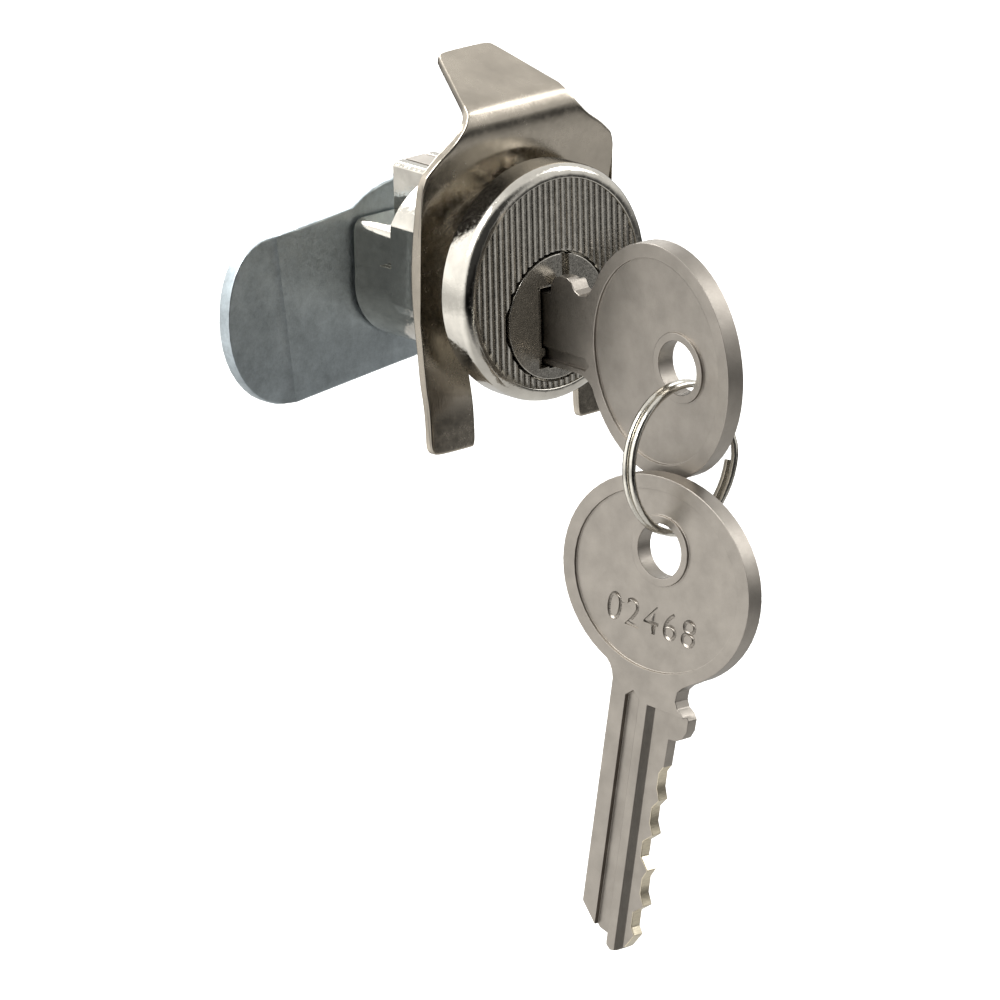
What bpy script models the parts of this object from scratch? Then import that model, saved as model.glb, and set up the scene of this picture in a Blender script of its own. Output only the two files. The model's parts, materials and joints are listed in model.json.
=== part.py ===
"""Mailbox cam lock: die-cast body, pin tumbler plug, cam, horseshoe clip, two keys on a split ring.

Row frame: origin on the body axis in the plane of the head's rear face (the panel seat).
+X is to the right seen from the front, +Y runs back through the panel, +Z is up.
Every length below is in millimetres and is turned to metres when a mesh is written.
"""
import math

import bmesh
import bpy
from mathutils import Matrix, Vector

MM = 0.001

# Head and body casting
HEAD_R = 12.0
HEAD_T = 3.6
HEAD_EDGE = 1.15
BODY_R = 8.1
BODY_FLAT = 7.1
BODY_END = 13.4
NECK_FLAT = 6.5
NECK_FROM = 0.85
NECK_TO = 4.75
PAD_END = 15.2
SLEEVE_R = 6.45
SLEEVE_HALF = 6.4
SLEEVE_TOP = 6.6
SLEEVE_END = 19.9
CHEST_HALF = 2.9
CHEST_TOP = 8.95
CHEST_END = 17.7

# Plug, whose axis lies below the body axis
AXIS_Z = -3.35
FLANGE_R = 6.35
FLANGE_END = -1.0
PLUG_R = 5.5
PLUG_END = 20.1
FACE_Y = -3.5
BORE_R = 5.75
TAIL_R = 3.0
TAIL_HALF = 2.4
TAIL_END = 27.6
STOP_R = 4.9
STOP_FROM = 18.2

# Pin stacks
PIN_COUNT = 5
PIN_PITCH = 3.72
PIN_R = 1.15
HOLE_R = 1.35
KEY_PIN_TOP = 5.5
DRIVER_FOOT = 5.74
DRIVER_LEN = 2.6
SPRING_R = 0.85
SPRING_WIRE = 0.13
SPRING_TOP = 8.1
LEDGE = 0.2

# Key, in its own frame: a runs from the ring hole to the tip, w towards the cuts
KEY_HALF = 1.0
BOW_AT = 3.0
BOW_A = 10.4
BOW_W = 11.85
RING_HOLE_R = 2.75
SHOULDER = 18.45
BACK_W = -3.65
EDGE_W = 3.75
FIRST_CUT = 22.95
CUT_W = (3.2, 2.9, 2.35, 2.9, 2.35)
PEAK_W = (3.65, 3.45, 3.4, 3.5)
CUT_FLAT = 0.8
KEY_Z = -4.6

# Split ring
RING_R = 7.35
RING_WIRE = 0.36
RING_COIL = 0.41
RING_X = -1.05
RING_TURN = 5.0
RING_LEAN = 2.0
HANG_ANGLE = 252.0
HANG_DROP = 1.75

# Cam
CAM_T = 1.6
CAM_Y = 20.4
CAM_UPPER = 8.15
CAM_LOWER = 9.55
CAM_HUB_R = 9.6
CAM_REACH = 22.1
CAM_TIP = 7.2
CAM_DROOP = 5.7

# Clip
CLIP_T = 1.0
CLIP_HALF = 12.5
CLIP_SLOT = 6.8
CLIP_ARCH_Z = 3.4

MATERIALS = {
    "nickel_cast": ((0.62, 0.61, 0.59), 1.0, 0.25),
    "brass_plug": ((0.60, 0.57, 0.52), 1.0, 0.35),
    "cover_strip": ((0.55, 0.55, 0.56), 1.0, 0.4),
    "pin_brass": ((0.72, 0.56, 0.28), 1.0, 0.3),
    "spring_wire": ((0.70, 0.71, 0.72), 1.0, 0.3),
    "zinc_steel": ((0.56, 0.60, 0.63), 1.0, 0.4),
    "clip_steel": ((0.52, 0.50, 0.46), 1.0, 0.3),
    "key_nickel": ((0.54, 0.52, 0.48), 1.0, 0.35),
    "ring_steel": ((0.70, 0.69, 0.66), 1.0, 0.2),
}


def clear_scene():
    for obj in list(bpy.data.objects):
        bpy.data.objects.remove(obj, do_unlink=True)


def make_collection(name):
    group = bpy.data.collections.new(name)
    bpy.context.scene.collection.children.link(group)
    return group


def make_material(name, settings):
    colour, metallic, roughness = settings
    mat = bpy.data.materials.new(name)
    mat.use_nodes = True
    shader = mat.node_tree.nodes["Principled BSDF"]
    shader.inputs["Base Color"].default_value = (*colour, 1.0)
    shader.inputs["Metallic"].default_value = metallic
    shader.inputs["Roughness"].default_value = roughness
    return mat


def finish_mesh(bm, name, group, slot=None, origin=(0.0, 0.0, 0.0)):
    """Write a mesh modelled in millimetres as an object whose origin is at the given point."""
    bmesh.ops.recalc_face_normals(bm, faces=bm.faces)
    shift = Vector(origin)
    for vert in bm.verts:
        vert.co = (vert.co - shift) * MM
    mesh = bpy.data.meshes.new(name)
    bm.to_mesh(mesh)
    bm.free()
    obj = bpy.data.objects.new(name, mesh)
    obj.location = shift * MM
    group.objects.link(obj)
    if slot:
        mesh.materials.append(bpy.data.materials[slot])
    return obj


def add_rod(bm, radius, y0, y1, x=0.0, z=0.0, sides=48, radius_end=None, turn=0.0):
    """A cylinder or cone along Y."""
    end = radius if radius_end is None else radius_end
    place = Matrix.Translation((x, (y0 + y1) / 2, z)) @ Matrix.Rotation(-math.pi / 2, 4, "X")
    place = place @ Matrix.Rotation(turn, 4, "Z")
    return bmesh.ops.create_cone(bm, cap_ends=True, segments=sides, radius1=radius, radius2=end,
                                 depth=y1 - y0, matrix=place)


def add_post(bm, radius, z0, z1, x, y, sides=20, radius_end=None):
    """A cylinder or cone along Z."""
    end = radius if radius_end is None else radius_end
    place = Matrix.Translation((x, y, (z0 + z1) / 2))
    return bmesh.ops.create_cone(bm, cap_ends=True, segments=sides, radius1=radius, radius2=end,
                                 depth=z1 - z0, matrix=place)


def add_box(bm, x0, x1, y0, y1, z0, z1):
    size = Matrix.Diagonal((x1 - x0, y1 - y0, z1 - z0, 1.0))
    place = Matrix.Translation(((x0 + x1) / 2, (y0 + y1) / 2, (z0 + z1) / 2))
    return bmesh.ops.create_cube(bm, size=1.0, matrix=place @ size)


def add_slab(bm, points, depth):
    """Extrude a closed outline of 3-D points by a vector."""
    face = bm.faces.new([bm.verts.new(point) for point in points])
    side = bmesh.ops.extrude_face_region(bm, geom=[face])
    moved = [item for item in side["geom"] if isinstance(item, bmesh.types.BMVert)]
    bmesh.ops.translate(bm, verts=moved, vec=depth)


def cutter(bm, name):
    obj = finish_mesh(bm, name, CUTTERS)
    obj.hide_render = True
    obj.display_type = "WIRE"
    return obj


def boolean(obj, tool, operation="DIFFERENCE"):
    mod = obj.modifiers.new(tool.name, "BOOLEAN")
    mod.operation = operation
    mod.solver = "EXACT"
    mod.object = tool
    return mod


def pin_y(index):
    """Depth of one pin stack, straight above its cut when the key is home."""
    return FACE_Y - 0.1 + FIRST_CUT - SHOULDER + index * PIN_PITCH


def head_solid(bm):
    made = add_rod(bm, HEAD_R, -HEAD_T, 0.0, sides=72)
    front = [edge for edge in bm.edges
             if all(abs(vert.co.y + HEAD_T) < 1e-5 for vert in edge.verts) and len(edge.link_faces) == 2]
    bmesh.ops.bevel(bm, geom=front, offset=HEAD_EDGE, segments=4, profile=0.5, affect="EDGES")
    return made


def body_tools():
    """The solids that join the head to make the casting, and the spaces cut from it."""
    bm = bmesh.new()
    add_rod(bm, BODY_R, -0.6, BODY_END, sides=56)
    barrel = cutter(bm, "barrel_round")
    bm = bmesh.new()
    for side in (-1, 1):
        low, high = sorted((side * BODY_FLAT, side * 12.0))
        add_box(bm, low, high, 0.0, BODY_END + 1.0, -12.0, 12.0)
    flats = cutter(bm, "barrel_flats")
    bm = bmesh.new()
    add_rod(bm, SLEEVE_R, -0.5, SLEEVE_END, z=AXIS_Z, sides=48)
    sleeve = cutter(bm, "sleeve_round")
    bm = bmesh.new()
    add_box(bm, -SLEEVE_HALF, SLEEVE_HALF, 6.0, SLEEVE_END, AXIS_Z + 0.3, AXIS_Z + SLEEVE_TOP)
    long_edges = [edge for edge in bm.edges
                  if all(vert.co.z > AXIS_Z + 5.0 for vert in edge.verts)
                  and abs(edge.verts[0].co.y - edge.verts[1].co.y) > 1.0]
    bmesh.ops.bevel(bm, geom=long_edges, offset=1.2, segments=3, profile=0.5, affect="EDGES")
    shoulders = cutter(bm, "sleeve_shoulders")
    bm = bmesh.new()
    add_box(bm, -BODY_FLAT, BODY_FLAT, 7.0, PAD_END, AXIS_Z + 0.4, AXIS_Z + 2.9)
    pads = cutter(bm, "side_pads")
    bm = bmesh.new()
    add_box(bm, -CHEST_HALF, CHEST_HALF, -0.6, CHEST_END, 0.0, CHEST_TOP)
    long_edges = [edge for edge in bm.edges
                  if all(vert.co.z > CHEST_TOP - 0.1 for vert in edge.verts)
                  and abs(edge.verts[0].co.y - edge.verts[1].co.y) > 1.0]
    bmesh.ops.bevel(bm, geom=long_edges, offset=0.4, segments=1, profile=0.5, affect="EDGES")
    chest = cutter(bm, "pin_chest")
    bm = bmesh.new()
    add_box(bm, STOP_R, BORE_R + 0.4, STOP_FROM, SLEEVE_END, AXIS_Z - 0.8, AXIS_Z + 0.8)
    stop = cutter(bm, "turn_stop")
    return barrel, flats, sleeve, shoulders, pads, chest, stop


def space_tools():
    bm = bmesh.new()
    for side in (-1, 1):
        low, high = sorted((side * NECK_FLAT, side * 11.0))
        add_box(bm, low, high, NECK_FROM, NECK_TO, -13.0, 13.0)
    neck = cutter(bm, "clip_grooves")
    bm = bmesh.new()
    add_rod(bm, BORE_R, -6.0, SLEEVE_END + 3.0, z=AXIS_Z, sides=48)
    bore = cutter(bm, "plug_bore")
    bm = bmesh.new()
    add_rod(bm, FLANGE_R + 0.25, -6.0, FLANGE_END + 0.25, z=AXIS_Z, sides=56)
    seat = cutter(bm, "flange_seat")
    bm = bmesh.new()
    for index in range(PIN_COUNT):
        add_post(bm, HOLE_R, 0.0, CHEST_TOP + 2.0, 0.0, pin_y(index))
    chambers = cutter(bm, "pin_chambers")
    bm = bmesh.new()
    half = [(1.85, -0.7), (1.85, -0.2), (1.45, -0.2), (1.45, 0.5)]
    section = half + [(-x, z) for x, z in reversed(half)]
    add_slab(bm, [(x, -1.0, CHEST_TOP + z) for x, z in section], (0.0, CHEST_END + 2.0, 0.0))
    slot = cutter(bm, "cover_slot")
    return neck, bore, seat, chambers, slot


def lock_housing():
    bm = bmesh.new()
    head_solid(bm)
    obj = finish_mesh(bm, "lock_housing", PARTS, "nickel_cast")
    barrel, flats, sleeve, shoulders, pads, chest, stop = body_tools()
    neck, bore, seat, chambers, slot = space_tools()
    boolean(obj, barrel, "UNION")
    boolean(obj, flats)
    boolean(obj, sleeve, "UNION")
    boolean(obj, shoulders, "UNION")
    boolean(obj, pads, "UNION")
    boolean(obj, chest, "UNION")
    for tool in (neck, bore, seat, chambers, slot):
        boolean(obj, tool)
    boolean(obj, stop, "UNION")
    return obj


def pin_chamber_cover():
    """The strip that slides into the top of the pin chest and closes the chambers."""
    bm = bmesh.new()
    add_box(bm, -1.65, 1.65, -0.8, CHEST_END, CHEST_TOP - 0.6, CHEST_TOP - 0.3)
    obj = finish_mesh(bm, "pin_chamber_cover", PARTS, "cover_strip")
    bm = bmesh.new()
    add_box(bm, -1.2, 1.2, 0.3, CHEST_END, CHEST_TOP - 0.4, CHEST_TOP)
    boolean(obj, cutter(bm, "cover_rib"), "UNION")
    return obj


def keyway_outline():
    """Section of the slot in (x, w), with a ward that enters each groove of the key."""
    return [(-1.2, BACK_W - 0.2), (1.2, BACK_W - 0.2), (1.2, -1.6), (0.74, -1.5), (0.74, -0.3),
            (1.2, -0.2), (1.2, 1.15), (0.6, 1.9), (0.6, 4.05), (-1.2, 4.05), (-1.2, -2.0),
            (-0.74, -2.1), (-0.74, -2.9), (-1.2, -3.0)]


def plug_tools():
    bm = bmesh.new()
    add_rod(bm, PLUG_R, FLANGE_END - 0.6, PLUG_END, z=AXIS_Z, sides=48)
    core = cutter(bm, "plug_core")
    bm = bmesh.new()
    points = []
    for side in (0.0, math.pi):
        reach = math.acos(TAIL_HALF / TAIL_R)
        for step in range(9):
            angle = side - math.pi / 2 + reach + step * (math.pi - 2 * reach) / 8
            points.append((TAIL_R * math.cos(angle), PLUG_END - 0.6, AXIS_Z + TAIL_R * math.sin(angle)))
    add_slab(bm, points, (0.0, TAIL_END - PLUG_END + 0.6, 0.0))
    tail = cutter(bm, "plug_tail")
    bm = bmesh.new()
    add_slab(bm, [(x, -6.0, KEY_Z + w) for x, w in keyway_outline()], (0.0, 25.6, 0.0))
    keyway = cutter(bm, "keyway")
    bm = bmesh.new()
    add_box(bm, -2.5, 1.9, -6.0, FACE_Y + 1.1, AXIS_Z - 4.9, AXIS_Z + 3.4)
    pocket = cutter(bm, "face_pocket")
    bm = bmesh.new()
    add_box(bm, 0.7, 1.6, -6.0, FACE_Y + 0.6, AXIS_Z + 3.0, AXIS_Z + 7.0)
    nick = cutter(bm, "face_nick")
    bm = bmesh.new()
    for index in range(PIN_COUNT):
        add_post(bm, HOLE_R, AXIS_Z + LEDGE, AXIS_Z + 8.0, 0.0, pin_y(index))
    holes = cutter(bm, "plug_pin_holes")
    bm = bmesh.new()
    points = []
    for radius, order in ((PLUG_R + 1.0, range(13)), (STOP_R - 0.3, range(12, -1, -1))):
        for step in order:
            angle = math.radians(-12.5 + 115.0 * step / 12)
            points.append((radius * math.cos(angle), STOP_FROM - 0.3,
                           AXIS_Z + radius * math.sin(angle)))
    add_slab(bm, points, (0.0, 4.0, 0.0))
    relief = cutter(bm, "stop_relief")
    return core, tail, keyway, pocket, nick, holes, relief


def lock_plug():
    bm = bmesh.new()
    add_rod(bm, FLANGE_R, FACE_Y, FLANGE_END, z=AXIS_Z, sides=56)
    obj = finish_mesh(bm, "lock_plug", PARTS, "brass_plug", (0.0, 0.0, AXIS_Z))
    core, tail, keyway, pocket, nick, holes, relief = plug_tools()
    boolean(obj, core, "UNION")
    boolean(obj, relief)
    boolean(obj, tail, "UNION")
    for tool in (keyway, pocket, nick, holes):
        boolean(obj, tool)
    return obj


def key_pin(index):
    """A brass pin with a blunt cone that rests on the key's cut."""
    y = pin_y(index)
    foot = KEY_Z + CUT_W[index] + 0.15
    bm = bmesh.new()
    add_post(bm, PIN_R, foot + 0.55, AXIS_Z + KEY_PIN_TOP, 0.0, y, sides=16)
    cap = [face for face in bm.faces if all(vert.co.z < foot + 0.6 for vert in face.verts)]
    made = bmesh.ops.extrude_face_region(bm, geom=cap)
    tip = [item for item in made["geom"] if isinstance(item, bmesh.types.BMVert)]
    bmesh.ops.delete(bm, geom=cap, context="FACES_ONLY")
    bmesh.ops.translate(bm, verts=tip, vec=(0.0, 0.0, -0.55))
    bmesh.ops.scale(bm, verts=tip, vec=(0.5, 0.5, 1.0),
                    space=Matrix.Translation((0.0, -y, 0.0)))
    return finish_mesh(bm, "key_pin_%d" % (index + 1), PARTS, "pin_brass", (0.0, y, foot))


def driver_pin(index):
    y = pin_y(index)
    foot = AXIS_Z + DRIVER_FOOT
    bm = bmesh.new()
    add_post(bm, PIN_R, foot, foot + DRIVER_LEN, 0.0, y, sides=16)
    return finish_mesh(bm, "driver_pin_%d" % (index + 1), PARTS, "pin_brass", (0.0, y, foot))


def wire_mesh(points, radius, name, slot, origin, resolution=2):
    """Sweep a round wire along points, as a mesh with closed ends."""
    curve = bpy.data.curves.new(name + "_path", "CURVE")
    curve.dimensions = "3D"
    curve.bevel_depth = radius * MM
    curve.bevel_resolution = resolution
    curve.use_fill_caps = True
    spline = curve.splines.new("POLY")
    spline.points.add(len(points) - 1)
    for point, place in zip(spline.points, points):
        point.co = (*[(place[axis] - origin[axis]) * MM for axis in range(3)], 1.0)
    path = bpy.data.objects.new(name + "_path", curve)
    PARTS.objects.link(path)
    bpy.context.view_layer.update()
    depsgraph = bpy.context.evaluated_depsgraph_get()
    mesh = bpy.data.meshes.new_from_object(path.evaluated_get(depsgraph))
    bpy.data.objects.remove(path, do_unlink=True)
    bm = bmesh.new()
    bm.from_mesh(mesh)
    bmesh.ops.remove_doubles(bm, verts=bm.verts, dist=1e-7)
    bmesh.ops.recalc_face_normals(bm, faces=bm.faces)
    bm.to_mesh(mesh)
    bm.free()
    mesh.name = name
    mesh.materials.clear()
    mesh.materials.append(bpy.data.materials[slot])
    obj = bpy.data.objects.new(name, mesh)
    obj.location = Vector(origin) * MM
    PARTS.objects.link(obj)
    return obj


def pin_spring(index):
    y = pin_y(index)
    low = AXIS_Z + DRIVER_FOOT + DRIVER_LEN + 0.28
    high = SPRING_TOP - SPRING_WIRE
    turns = 4.5
    steps = 54
    points = []
    for step in range(steps + 1):
        part = step / steps
        angle = 2 * math.pi * turns * part
        points.append((SPRING_R * math.cos(angle), y + SPRING_R * math.sin(angle),
                       low + (high - low) * part))
    return wire_mesh(points, SPRING_WIRE, "pin_spring_%d" % (index + 1), "spring_wire",
                     (0.0, y, low), resolution=0)


def ellipse_points(centre, long, wide, start, end, count):
    return [(centre + long * math.cos(start + (end - start) * step / count),
             wide * math.sin(start + (end - start) * step / count)) for step in range(count + 1)]


def key_outline():
    """Outline in (a, w): oval bow, thumb notch, stop lobe, five cuts, stepped tip, straight back."""
    first = math.asin(-4.7 / BOW_W)
    last = -2 * math.pi + math.asin(6.2 / BOW_W)
    points = ellipse_points(BOW_AT, BOW_A, BOW_W, first, last, 52)
    points += [(12.6, 5.1), (13.2, 4.55), (14.2, 4.45), (14.9, 4.8), (15.3, 5.5), (15.9, 5.9),
               (17.1, 5.85), (17.9, 5.45), (18.35, 4.7), (SHOULDER, EDGE_W)]
    points.append((FIRST_CUT - CUT_FLAT - 0.75, EDGE_W - 0.1))
    for index in range(PIN_COUNT):
        centre = FIRST_CUT + index * PIN_PITCH
        points.append((centre - CUT_FLAT, CUT_W[index]))
        points.append((centre + CUT_FLAT, CUT_W[index]))
        if index < PIN_COUNT - 1:
            points.append((centre + PIN_PITCH / 2 + 0.1, PEAK_W[index]))
    points += [(39.4, 2.85), (40.9, 1.9), (41.4, 1.2), (41.5, 0.5), (41.1, 0.0), (40.2, -0.15),
               (39.9, -1.45), (37.65, BACK_W), (14.3, BACK_W), (13.6, -3.85), (13.0, -4.2)]
    return points


def key_tools(tag, place):
    """Spaces cut from the key: shallow fields of the bow, ring hole, blade grooves."""
    fields = []
    for side in (-1, 1):
        bm = bmesh.new()
        rim = ellipse_points(BOW_AT + 0.1, BOW_A - 1.35, BOW_W - 1.5, 0.0, 2 * math.pi, 48)[:-1]
        add_slab(bm, [(side * 2.0, a, w) for a, w in rim], (-side * 1.28, 0.0, 0.0))
        bmesh.ops.transform(bm, verts=bm.verts, matrix=place)
        fields.append(cutter(bm, "%s_field_%d" % (tag, side + 2)))
    bm = bmesh.new()
    circle = [(RING_HOLE_R * math.cos(t * math.pi / 16), RING_HOLE_R * math.sin(t * math.pi / 16))
              for t in range(32)]
    add_slab(bm, [(-3.0, a, w) for a, w in circle], (6.0, 0.0, 0.0))
    bmesh.ops.transform(bm, verts=bm.verts, matrix=place)
    hole = cutter(bm, tag + "_ring_hole")
    bm = bmesh.new()
    add_slab(bm, [(0.5, 15.4, -1.75), (0.5, 14.7, -0.9), (0.5, 15.4, -0.05), (0.5, 44.0, -0.05),
                  (0.5, 44.0, -1.75)], (2.0, 0.0, 0.0))
    add_slab(bm, [(0.36, 15.6, 1.7), (0.36, 15.6, 7.0), (2.0, 15.6, 7.0), (2.0, 15.6, 0.3),
                  (0.98, 15.6, 1.05)], (0.0, 30.0, 0.0))
    bmesh.ops.transform(bm, verts=bm.verts, matrix=place)
    face_grooves = cutter(bm, tag + "_grooves")
    bm = bmesh.new()
    add_slab(bm, [(-0.5, 13.6, -3.15), (-0.5, 13.0, -2.5), (-0.5, 13.6, -1.85), (-0.5, 44.0, -1.85),
                  (-0.5, 44.0, -3.15)], (-2.0, 0.0, 0.0))
    bmesh.ops.transform(bm, verts=bm.verts, matrix=place)
    back_groove = cutter(bm, tag + "_back_groove")
    return fields, hole, face_grooves, back_groove


def make_key(name, place, origin):
    """A flat key. place carries the key's own frame (thickness, a, w) into the row frame."""
    bm = bmesh.new()
    add_slab(bm, [(-KEY_HALF, a, w) for a, w in key_outline()], (2 * KEY_HALF, 0.0, 0.0))
    bmesh.ops.transform(bm, verts=bm.verts, matrix=place)
    obj = finish_mesh(bm, name, PARTS, "key_nickel", origin)
    fields, hole, face_grooves, back_groove = key_tools(name, place)
    collar = []
    for side, field in zip((-1, 1), fields):
        bm = bmesh.new()
        rim = [(3.55 * math.cos(t * math.pi / 16), 3.55 * math.sin(t * math.pi / 16))
               for t in range(32)]
        add_slab(bm, [(side * 2.4, a, w) for a, w in rim], (-side * 2.0, 0.0, 0.0))
        bmesh.ops.transform(bm, verts=bm.verts, matrix=place)
        collar.append(cutter(bm, "%s_collar_%d" % (name, side + 2)))
        boolean(field, collar[-1])
    for tool in (*fields, hole, face_grooves, back_groove):
        boolean(obj, tool)
    return obj


def key_place(origin, thick, along, wide):
    """The matrix whose columns are the key's thickness, a and w directions."""
    turn = Matrix((thick, along, wide)).transposed().to_4x4()
    return Matrix.Translation(origin) @ turn


def home_place():
    y = FACE_Y - 0.1 - SHOULDER
    return key_place((0.0, y, KEY_Z), (1.0, 0.0, 0.0), (0.0, 1.0, 0.0), (0.0, 0.0, 1.0))


def ring_frame():
    """Across, down and axis directions of the ring, turned and leant a little from the X-Z plane."""
    turn, lean = math.radians(RING_TURN), math.radians(RING_LEAN)
    across = Vector((math.cos(turn), math.sin(turn), 0.0))
    level = Vector((-math.sin(turn), math.cos(turn), 0.0))
    down = Vector((0.0, 0.0, -math.cos(lean))) - level * math.sin(lean)
    return across, down, across.cross(down)


def ring_top():
    """Where the wire passes through the first key's hole, low in that hole."""
    return Vector((0.0, FACE_Y - 0.1 - SHOULDER, KEY_Z - 1.75))


def ring_point(angle, side=0.0):
    """A point of the ring's centre line, at an angle from across, stepped sideways along its axis."""
    across, down, axis = ring_frame()
    centre = ring_top() + across * RING_X + down * math.sqrt(RING_R ** 2 - RING_X ** 2)
    return centre + (across * math.cos(angle) - down * math.sin(angle)) * RING_R + axis * side


def split_ring():
    """Two flat coils of wire side by side, joined by one short step."""
    points = []
    first = math.radians(5.0)
    for step in range(91):
        turn = math.radians(20.0 + 680.0 * step / 90)
        part = (math.degrees(turn) - 345.0) / 30.0
        part = min(1.0, max(0.0, part))
        side = -RING_COIL + 2 * RING_COIL * part * part * (3 - 2 * part)
        points.append(tuple(ring_point(first + turn, side)))
    return wire_mesh(points, RING_WIRE, "split_ring", "ring_steel", tuple(ring_top()))


def spare_place():
    along = Vector((-0.104, 0.102, -0.989)).normalized()
    thick = Vector((-0.986, -0.139, 0.089))
    thick = (thick - along * thick.dot(along)).normalized()
    wide = thick.cross(along)
    hang = ring_point(math.radians(HANG_ANGLE))
    return key_place(hang + along * HANG_DROP, thick, along, wide), thick, hang


def cam_outline():
    """Outline in the cam's own plane, arm along -X, lower side flush with the hub, blunt round tip."""
    points = []
    upper = math.pi - math.asin(CAM_UPPER / CAM_HUB_R)
    lower = -math.pi + math.asin(CAM_LOWER / CAM_HUB_R)
    for step in range(25):
        angle = upper + (lower - upper) * step / 24
        points.append((CAM_HUB_R * math.cos(angle), CAM_HUB_R * math.sin(angle)))
    middle = (CAM_UPPER - CAM_LOWER) / 2
    half = (CAM_UPPER + CAM_LOWER) / 2
    for step in range(21):
        angle = -math.pi / 2 - math.pi * step / 20
        reach = abs(math.cos(angle)) ** (1.0 if step < 10 else 0.72)
        points.append((CAM_TIP - CAM_REACH - CAM_TIP * reach, middle + half * math.sin(angle)))
    return points


def cam():
    turn = Matrix.Rotation(math.radians(-CAM_DROOP), 4, "Y")
    shift = Matrix.Translation((0.0, 0.0, AXIS_Z))
    bm = bmesh.new()
    add_slab(bm, [(x, CAM_Y, z) for x, z in cam_outline()], (0.0, CAM_T, 0.0))
    bmesh.ops.triangulate(bm, faces=bm.faces)
    for place in (-15.9, -14.6):
        bmesh.ops.bisect_plane(bm, geom=list(bm.verts) + list(bm.edges) + list(bm.faces),
                               plane_co=(place, 0.0, 0.0), plane_no=(1.0, 0.0, 0.0))
    for vert in bm.verts:
        if vert.co.x < -15.8:
            vert.co.y += 0.4
    bmesh.ops.transform(bm, verts=bm.verts, matrix=shift @ turn)
    obj = finish_mesh(bm, "cam", PARTS, "zinc_steel", (0.0, CAM_Y, AXIS_Z))
    bm = bmesh.new()
    points = []
    reach = math.acos((TAIL_HALF + 0.2) / (TAIL_R + 0.2))
    for side in (0.0, math.pi):
        for step in range(9):
            angle = side - math.pi / 2 + reach + step * (math.pi - 2 * reach) / 8
            points.append(((TAIL_R + 0.2) * math.cos(angle), CAM_Y - 2.0,
                           AXIS_Z + (TAIL_R + 0.2) * math.sin(angle)))
    add_slab(bm, points, (0.0, 6.0, 0.0))
    boolean(obj, cutter(bm, "cam_seat"))
    return obj


def lock_washer():
    """A spring washer, split once."""
    bm = bmesh.new()
    add_rod(bm, 5.2, CAM_Y + CAM_T + 0.15, CAM_Y + CAM_T + 0.95, z=AXIS_Z, sides=32)
    obj = finish_mesh(bm, "lock_washer", PARTS, "zinc_steel", (0.0, CAM_Y, AXIS_Z))
    bm = bmesh.new()
    add_rod(bm, TAIL_R + 0.25, CAM_Y, CAM_Y + 5.0, z=AXIS_Z, sides=32)
    boolean(obj, cutter(bm, "washer_hole"))
    bm = bmesh.new()
    add_box(bm, 2.0, 7.0, CAM_Y, CAM_Y + 5.0, AXIS_Z - 0.4, AXIS_Z + 0.4)
    boolean(obj, cutter(bm, "washer_split"))
    return obj


def cam_nut():
    start = CAM_Y + CAM_T + 1.1
    bm = bmesh.new()
    add_rod(bm, 5.5 / math.cos(math.pi / 6), start, start + 3.8, z=AXIS_Z, sides=6)
    obj = finish_mesh(bm, "cam_nut", PARTS, "zinc_steel", (0.0, CAM_Y, AXIS_Z))
    bm = bmesh.new()
    add_rod(bm, TAIL_R + 0.2, start - 1.0, start + 6.0, z=AXIS_Z, sides=32)
    boolean(obj, cutter(bm, "nut_thread"))
    return obj


def clip_side():
    """Side view of the clip's front face, (y, z) from the leg tips up over the bend to the tab."""
    return [(1.4, -16.3), (1.45, -14.5), (1.5, -12.5), (1.75, -10.6), (2.15, -9.0), (2.3, -7.0),
            (2.55, -4.8), (2.85, -2.4), (3.05, 0.0), (3.0, 2.5), (2.75, 5.0), (2.35, 7.6),
            (1.95, 9.8), (1.6, 12.0), (1.3, 14.0), (1.15, 15.6), (1.25, 16.6), (1.75, 17.55),
            (2.6, 18.2), (4.2, 18.95), (7.0, 20.3), (9.85, 21.65)]


def clip_edge(length, crest):
    """Outer edge of the flat blank as (s, half width): leg, shoulder, tapered tab."""
    shoulder = crest - 6.2
    return [(0.0, CLIP_HALF - 0.8), (0.3, CLIP_HALF - 0.25), (0.9, CLIP_HALF),
            (shoulder - 0.6, CLIP_HALF), (shoulder + 0.7, CLIP_HALF - 0.5),
            (shoulder + 2.0, CLIP_HALF - 1.9), (shoulder + 3.4, CLIP_HALF - 3.9),
            (shoulder + 4.8, CLIP_HALF - 5.2), (shoulder + 6.0, 6.55), (crest + 1.2, 6.2),
            (length - 0.3, 3.45), (length, 3.1)]


def look_up(table, key):
    """Straight-line interpolation in a list of (key, value) rows."""
    for (low, first), (high, last) in zip(table, table[1:]):
        if key <= high + 1e-6:
            part = min(1.0, max(0.0, (key - low) / (high - low)))
            return first + part * (last - first)
    return table[-1][1]


def clip_inner(s, base):
    """Half width of the slot at s: straight legs under a round arch."""
    if s < 0.6:
        return CLIP_SLOT + 0.4 * (0.6 - s)
    if s <= base:
        return CLIP_SLOT
    rise = min(CLIP_SLOT, s - base)
    return math.sqrt(max(0.0, CLIP_SLOT ** 2 - rise ** 2))


def clip_levels(reach, edge, base):
    arch = [base + CLIP_SLOT * math.sin(math.pi * step / 20) for step in range(11)]
    levels = sorted(set(reach) | {s for s, _ in edge} | set(arch) | {0.6})
    kept = [levels[0]]
    for s in levels[1:]:
        if s - kept[-1] > 0.12 or s == base + CLIP_SLOT:
            kept.append(s)
    kept[-1] = reach[-1]
    return kept


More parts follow.
